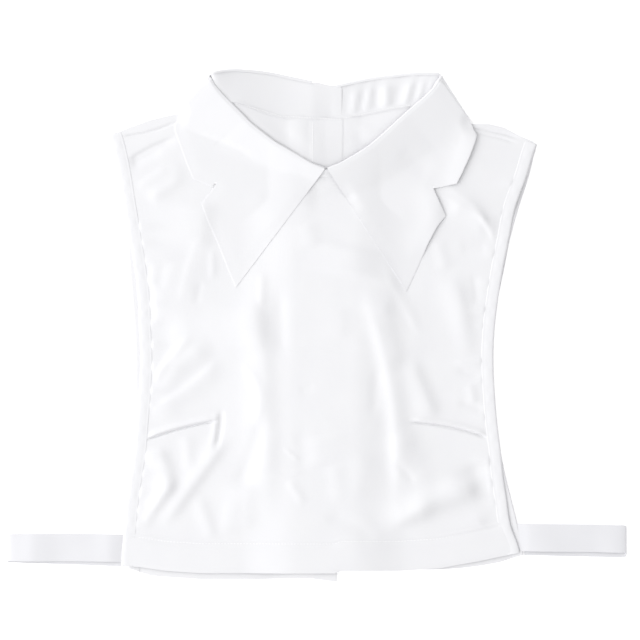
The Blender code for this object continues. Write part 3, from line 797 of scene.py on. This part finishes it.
def collar_line(table, under, steps):
    """The sections with the heights of seam, fold and edge: front, seam, fold, edge, slope width."""
    rows = []
    for front_share, seam_x, seam_y, fold_x, fold_y, fold_z, edge_x, edge_y, slope in table:
        if front_share == 1:
            corner = float(ramp(abs(seam_x), 83.0, 89.0)) * float(neck_rise(fold_x, fold_y + 2.0)) * 0.8
            seam_z = front_under(seam_x, seam_y) + 0.5 + corner
            edge_z = front_under(edge_x, edge_y) + 1.0 + LEAF_CLEAR
        elif front_share == 0:
            seam_z = 2.6 + float(neck_rise(fold_x, fold_y + 2.0)) * 0.9
            edge_z = max(fold_z - 3.2, LEAF_UNDER)
        else:
            level = float(under(seam_x, seam_y)) + 0.5
            seam_z = level + float(neck_rise(seam_x, max(seam_y, along(NECK_FOLD, seam_x))))
            fold_z = level + float(neck_rise(fold_x, fold_y))
            edge_z = LEAF_UNDER
        rows.append((
            front_share, seam_x, seam_y, seam_z, fold_x, fold_y, fold_z, edge_x, edge_y, edge_z, slope,
        ))
    smooth = rounded(rows, steps)
    straight = np.array(rows, float)
    at = np.arange(len(smooth)) / steps
    sharp = at <= LAST_CORNER
    for column in (7, 8):
        smooth[sharp, column] = np.interp(at[sharp], np.arange(len(straight)), straight[:, column])
    smooth[:, 0] = np.interp(at, np.arange(len(straight)), straight[:, 0])
    return smooth


def stand_piece(mat):
    """The band from its left back end round the neck to its right back end."""
    steps, end_steps = 8, 4
    ends = []
    for end, under in ((STAND_END_INNER, inner_under), (STAND_END_OUTER, outer_under)):
        rows = []
        for seam_x, seam_y, top_x, top_y in end:
            level = float(under(seam_x, seam_y)) + 0.5
            rows.append((seam_x, seam_y, level, top_x, top_y, level))
        ends.append(np.array(rows))
    left = collar_line(COLLAR_LEFT, inner_under, steps)[::-1, 1:7]
    right = collar_line(COLLAR_RIGHT, outer_under, steps)[:, 1:7]
    stations = np.concatenate([
        rounded(np.concatenate([ends[0][::-1], left[:1]]), end_steps)[:-1],
        left,
        right,
        rounded(np.concatenate([right[-1:], ends[1]]), end_steps)[1:],
    ])
    seam, fold = stations[:, :3], stations[:, 3:]
    tall = np.linalg.norm(fold - seam, axis=1)
    rise = unit(fold - seam)
    # The side that faces into the neck, which is up where the band lies flat at the back.
    inside = unit(np.cross(rise, unit(np.gradient(seam + fold, axis=0))))
    first_leaf = len(ends[0]) * end_steps
    last_leaf = len(stations) - len(ends[1]) * end_steps
    number = np.arange(len(stations))
    short = np.where((number >= first_leaf) & (number < last_leaf), STAND_BELOW_FOLD, 0.0)
    shares = spread((0.0, 0.12, 5), (0.12, 0.9, 14), (0.9, 1.0, 4))
    length = lengths_along(seam)

    def place(i, j):
        reach = shares[i] * (tall[j] - short[j])
        x = seam[j, 0]
        lift = 0.55 * (1.0 - ramp(reach, 0.2, 2.4)) - 0.6 * (1.0 - ramp(reach, -1.0, 0.3))
        at_back = ramp(seam[j, 1], 368.0, 372.0)
        outer_end = (number[j] > len(stations) / 2) * at_back
        pucker = np.zeros_like(x)
        for at, half_width, height, lean in STAND_PUCKERS:
            pucker += height * np.exp(-(((x - at - lean * (shares[i] - 0.45)) / half_width) ** 2))
        pucker *= outer_end * ramp(shares[i], 0.02, 0.2) * (1.0 - 0.75 * ramp(shares[i], 0.6, 0.85))
        end = -0.7 * ramp(x, 12.4, 14.3) * (number[j] < first_leaf)
        overlap = rise[j] * (-1.2 * (1.0 - ramp(reach, 0.0, 3.0)))[:, None]
        points = seam[j] + rise[j] * reach[:, None] + inside[j] * (lift + pucker + end)[:, None] + overlap
        return points, np.stack([length[j], reach], axis=1) * MM

    bm = grid(len(shares), len(stations), place)
    return give_thickness(finish_piece("neck_stand_satin", bm, mat, "neck_stand"), 0.5)


# The same satin fused to interfacing, which keeps the collar smoother than the bodice.
collar_satin = woven(
    "White satin, interfaced", "E3E3E5", "E1E1E4", rough=0.42, sheen=0.1, gloss=0.6,
    thread=0.7, float_length=14.0, relief=0.02, crumple=0.12, turn=0.0,
)
stand = stand_piece(collar_satin)

# The stand is sewn down along the back neckline, the left half's row over the right one's.
SEAM_LEFT = ((-74, 384.5), (-52, 378.9), (-38, 374.3), (-11, 372.8), (14, 371.6))
SEAM_RIGHT = ((15.5, 372.9), (34, 376.9), (52, 380.8), (71, 383.4))
neckline_runs = []
for line, under in ((SEAM_LEFT, inner_under), (SEAM_RIGHT, outer_under)):
    seam_x = np.linspace(line[0][0], line[-1][0], 120)
    seam_y = along(line, seam_x)
    seam_z = under(seam_x, seam_y) + 0.5 + neck_rise(seam_x, seam_y) + 1.3
    neckline_runs.append((seam_x, seam_y, seam_z))
# The lighter thread of this row paints the highlight that the stand's turned lower edge catches.
neckline_stitches = stitches("neckline_stitches", neckline_runs, 2.2)


# The collar leaves: two layers of interfaced satin, turned right side out and pressed, with
# a step notch in the outer edge. They fold over the stand's top and lie on the front, and
# behind the neck they lie under the back.

# Soft creases of the leaves, in the columns of BACK_CREASES.
LEAF_CREASES = (
    (-111, 362, -60, 341, 1, 2.5, 2.5, -0.5),
    (-60, 310, -40, 285, 0, 12, 10, 0.3),
    (90, 318, 86, 262, 2, 9, 13, 1.6),
    (58, 300, 72, 262, 2, 12, 14, 0.3),
    (124, 366, 108, 312, 2, 6, 12, 2.6),
    (62, 345, 84, 330, 0, 8, 8, -0.4),
)
# The lip along the fold, pressed lower than the leaf beside it. The widths are a row of
# distances from the centre line, then the left leaf's lip there, then the right leaf's.
LIP_DEPTH = 0.6
LIP_WIDTHS = ((0, 20, 50, 62, 90), (1.4, 1.6, 1.6, 1.2, 1.0), (2.4, 2.4, 2.4, 2.4, 2.4))
# The roll over the stand's top: how far below the fold its sides start, and how far in and out
ROLL_DROP = 0.9
ROLL_IN = 0.75
ROLL_OUT = 1.8


def leaf_piece(name, node, table, under, side, mat):
    """A leaf from inside the neck over the stand and down its slope to the free edge."""
    line = collar_line(table, under, 10)
    # Closer sections near the centre front edge, so that it can be rounded off.
    near = np.array((0.0, 0.03, 0.07, 0.13, 0.22, 0.35, 0.5, 0.68, 0.84))
    at = np.concatenate([near, np.arange(1.0, len(line))])
    dense = np.stack([np.interp(at, np.arange(len(line)), column) for column in line.T], axis=1)
    share = dense[:, 0]
    seam, fold, edge = dense[:, 1:4], dense[:, 4:7], dense[:, 7:10]
    rise = unit(fold - seam)
    out = unit(np.cross(rise, unit(np.gradient(fold, axis=0))) * -side)
    at_back = np.clip(-share, 0.0, 1.0)[:, None]
    begin = fold - rise * 2.3 - out * ROLL_IN
    inner = fold - rise * ROLL_DROP - out * ROLL_IN
    outer_front = fold - rise * ROLL_DROP + out * ROLL_OUT - np.array((0.0, 0.0, LIP_DEPTH))
    outer_back = np.stack([fold[:, 0], fold[:, 1] - 1.0, np.full(len(fold), LEAF_UNDER)], axis=1)
    outer = outer_front * (1.0 - at_back) + outer_back * at_back
    roll_steps = 8
    centre, half = (inner + outer) / 2, (outer - inner) / 2
    # Positions from the roll to the free edge, closer at both ends.
    fall = spread((0.0, 0.12, 6), (0.12, 0.9, 32), (0.9, 0.97, 5), (0.97, 1.0, 4))[1:]
    columns = 1 + roll_steps + 1 + len(fall)
    outline = np.concatenate([dense[:1, 4:6], dense[share > 0.5][:, 7:9]])
    outline = np.concatenate([
        np.linspace(outline[k], outline[k + 1], 12, endpoint=False) for k in range(len(outline) - 1)
    ])

    def place(i, j):
        angle = np.pi * (1.0 - np.clip(i - 1, 0, roll_steps) / roll_steps)
        over = rise[j] * (ROLL_DROP * np.sin(angle))[:, None]
        points = centre[j] + half[j] * np.cos(angle)[:, None] + over
        points = np.where((i == 0)[:, None], begin[j], points)
        t = np.where(i > roll_steps + 1, fall[np.clip(i - roll_steps - 2, 0, len(fall) - 1)], 0.0)
        falling = outer[j] + (edge[j] - outer[j]) * t[:, None]
        # The front's own height, reached where the leaf's slope ends.
        gap = np.hypot(falling[:, None, 0] - fold[None, :, 0], falling[:, None, 1] - fold[None, :, 1])
        near_fold = np.argmin(np.where(share[None, :] > -0.5, gap, 1e9), axis=1)
        distance = gap[np.arange(len(gap)), near_fold]
        laid = front_folded(falling[:, 0], falling[:, 1]) + 0.5 + LEAF_CLEAR
        high = outer[near_fold, 2] + LIP_DEPTH - laid
        above = 1.0 - (distance / dense[near_fold, 10]) ** 1.2
        above = (above + np.sqrt(above**2 + 0.012)) / 2
        sloped = laid + np.maximum(high, 0.0) * above
        lip = np.interp(np.abs(fold[near_fold, 0]), LIP_WIDTHS[0], LIP_WIDTHS[1 if side < 0.0 else 2])
        sloped -= LIP_DEPTH * (1.0 - ramp(distance, 0.4, lip)) * ramp(t, -0.01, 0.02)
        straight = outer[j, 2] + (edge[j, 2] - outer[j, 2]) * t
        weight = ramp(share[j], 0.0, 1.0)
        falling[:, 2] = sloped * weight + straight * (1.0 - weight)
        # Towards its pressed edge the leaf comes down to lie on the front, and rounds off.
        rim = np.hypot(falling[:, None, 0] - outline[None, :, 0], falling[:, None, 1] - outline[None, :, 1])
        rim = rim.min(axis=1)
        on_front = front_height(falling[:, 0], falling[:, 1], np.full_like(t, 60.0)) + 0.47
        falling[:, 2] = np.where(weight > 0.99, np.maximum(falling[:, 2], on_front), falling[:, 2])
        settle = (1.0 - ramp(rim, 0.0, 10.0)) * weight
        settle = settle * (1.0 - np.clip(above, 0.0, 1.0)) * ramp(t, 0.1, 0.3)
        falling[:, 2] += (np.minimum(on_front, falling[:, 2]) - falling[:, 2]) * settle
        falling[:, 2] += creased(LEAF_CREASES, falling[:, 0], falling[:, 1]) * weight
        falling[:, 2] -= 0.15 * (1.0 - ramp(rim, 0.0, 0.9)) * weight * ramp(t, 0.0, 0.1)
        points = np.where((i > roll_steps + 1)[:, None], falling, points)
        slope_length = np.linalg.norm(edge[j] - outer[j], axis=1)
        across = np.where(i > roll_steps + 1, 4.0 + t * slope_length, i * 0.4)
        return points, np.stack([falling[:, 0], across], axis=1) * MM

    obj = finish_piece(name, grid(columns, len(dense), place), mat, node)
    return give_thickness(obj, 0.4)


leaf_left = leaf_piece(
    "collar_leaf_left_satin", "collar_leaf_left", COLLAR_LEFT, inner_under, -1.0, collar_satin
)
leaf_right = leaf_piece(
    "collar_leaf_right_satin", "collar_leaf_right", COLLAR_RIGHT, outer_under, 1.0, collar_satin
)


# The side straps: flat bands of the satin with its dull side out, which join front and back
# below the arms. Each is folded flat in two and sewn under the bindings at a lower corner.
STRAP_WIDTH = 22.5
# Middle of the band from the front corner round its fold to the back corner: x, y, height
STRAP_LEFT = (
    (-164, 20.5, 1.3), (-170, 20.5, 2.3), (-178, 20.6, 2.9), (-190, 20.8, 2.4), (-205, 21, 2.4),
    (-220, 21, 2.6), (-233, 21, 3.6), (-241, 21, 4.0), (-250, 21, 3.4), (-257, 21, 2.9),
    (-260.2, 21, 2.2), (-261, 20.6, 1.5), (-260.2, 20.2, 0.8), (-257, 20, 0.5),
    (-230, 19, 0.5), (-200, 18, 0.5), (-163, 16.5, 0.5),
)
STRAP_RIGHT = (
    (155.5, 29.5, 1.3), (161, 29.4, 2.4), (168, 29.2, 3.4), (180, 29, 3.6), (200, 28.8, 3.1),
    (220, 28.5, 2.7), (234, 28.2, 3.0), (240, 28, 2.9), (243.4, 28, 2.6), (245.6, 27.5, 2.1),
    (246, 26.5, 1.5), (245.4, 25.2, 0.9), (243, 24.2, 0.5), (225, 24.5, 0.5), (200, 25, 0.5),
    (162.5, 26, 0.5),
)


def strap_piece(name, node, table, mat):
    """A band along its middle line, a little wavy on its upper ply."""
    middle = rounded(table, 8)
    length = lengths_along(middle)
    halves = spread((-1.0, -0.9, 3), (-0.9, 0.9, 14), (0.9, 1.0, 3))

    def place(i, j):
        points = middle[j].copy()
        points[:, 1] += halves[i] * STRAP_WIDTH / 2
        upper = ramp(points[:, 2], 1.2, 2.0)
        points[:, 2] -= upper * 0.25 * ramp(np.abs(halves[i]), 0.9, 1.0)
        points[:, 2] += upper * 0.12 * np.sin(length[j] / 9.0 + 2.0 * halves[i])
        return points, np.stack([halves[i] * STRAP_WIDTH / 2, length[j]], axis=1) * MM

    obj = finish_piece(name, grid(len(halves), len(middle), place), mat, node)
    return give_thickness(obj, 0.6)


# The satin's reverse: plain short floats, matt and a little greyer beside the face.
strap_cloth = woven(
    "White strap, satin reverse out", "E0E0E3", "DCDCE0", rough=0.6, sheen=0.3, gloss=0.35,
    thread=0.8, float_length=3.0, relief=0.05, crumple=0.15, turn=0.0,
)
strap_left = strap_piece("strap_left", "side_strap_left", STRAP_LEFT, strap_cloth)
strap_right = strap_piece("strap_right", "side_strap_right", STRAP_RIGHT, strap_cloth)


# The buttons: turned from resin and sewn on under the placket and the neck overlap. Nothing
# of them shows, so they keep the solids' own shapes.

# Pearly resin, cloudy and with a hard gloss.
resin = clouded("Pearly resin button", "F1EFEA", "E6E4DF", grain=3.0, rough=0.16)
resin.node_tree.nodes["Principled BSDF"].inputs["Coat Weight"].default_value = 0.4
for name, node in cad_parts.items():
    if name.startswith("button"):
        node.data.materials.clear()
        node.data.materials.append(resin)


# The table, the light and the camera: a plain white table that glows faintly, which lightens the shadows on
# it and lights the cloth's low edges, in a white tent that is brighter on its left. The camera looks
# straight down.
table_bm = bmesh.new()
bmesh.ops.create_grid(
    table_bm, x_segments=1, y_segments=1, size=12.0, matrix=Matrix.Translation((0.0, 0.0, -0.0003))
)
table_mesh = bpy.data.meshes.new("table")
table_bm.to_mesh(table_mesh)
table_bm.free()
table = bpy.data.objects.new("table", table_mesh)
bpy.context.scene.collection.objects.link(table)
table_paint = bpy.data.materials.new("White table")
table_paint.use_nodes = True
table_shader = table_paint.node_tree.nodes["Principled BSDF"]
table_shader.inputs["Base Color"].default_value = linear("FCFCFC")
table_shader.inputs["Roughness"].default_value = 0.9
table_shader.inputs["Specular IOR Level"].default_value = 0.2
# The glow is painted light: it lightens the table's shadows beside the garment and lights the cloth's
# lowest edges from below.
table_shader.inputs["Emission Color"].default_value = linear("FFFFFF")
table_shader.inputs["Emission Strength"].default_value = 0.3
table_mesh.materials.append(table_paint)

# The tent, white all over and brighter towards its left side.
tent = bpy.data.worlds.new("Light tent")
bpy.context.scene.world = tent
tent.use_nodes = True
tent_way = add_node(tent, "ShaderNodeTexCoord", {}, {})
tent_side = add_node(tent, "ShaderNodeSeparateXYZ", {}, {"Vector": tent_way.outputs["Generated"]})
tent_level = add_node(
    tent, "ShaderNodeMapRange", {},
    {
        "Value": tent_side.outputs["X"],
        "From Min": -1.0, "From Max": 1.0, "To Min": 1.84, "To Max": 0.31,
    },
)
tent_light = tent.node_tree.nodes["Background"]
tent_light.inputs["Color"].default_value = linear("FFFFFF")
tent.node_tree.links.new(tent_level.outputs["Result"], tent_light.inputs["Strength"])

# A soft box stands near the left edge of the table, so that the light falls off to the right.
lamp = bpy.data.lights.new("Soft box", "AREA")
lamp.shape = "RECTANGLE"
lamp.size = 0.9
lamp.size_y = 0.9
lamp.energy = 3.9
softbox = bpy.data.objects.new("Soft box", lamp)
softbox.location = (-1.1, 0.0, 0.9)
softbox.rotation_mode = "QUATERNION"
softbox.rotation_quaternion = (-softbox.location).to_track_quat("-Z", "Y")
bpy.context.scene.collection.objects.link(softbox)

# Seen as in the photograph, whose whole width takes in 0.5248 m of the table.
scene_middle = (0.00258, 0.00416)
camera_height = 3.0
photo_width = 0.5248
camera_data = bpy.data.cameras.new("Camera")
camera_data.sensor_width = 36.0
camera_data.lens = 36.0 * camera_height / photo_width
camera = bpy.data.objects.new("Camera", camera_data)
camera.location = (scene_middle[0], scene_middle[1], camera_height)
bpy.context.scene.collection.objects.link(camera)
bpy.context.scene.camera = camera
bpy.context.scene.view_settings.view_transform = "Standard"
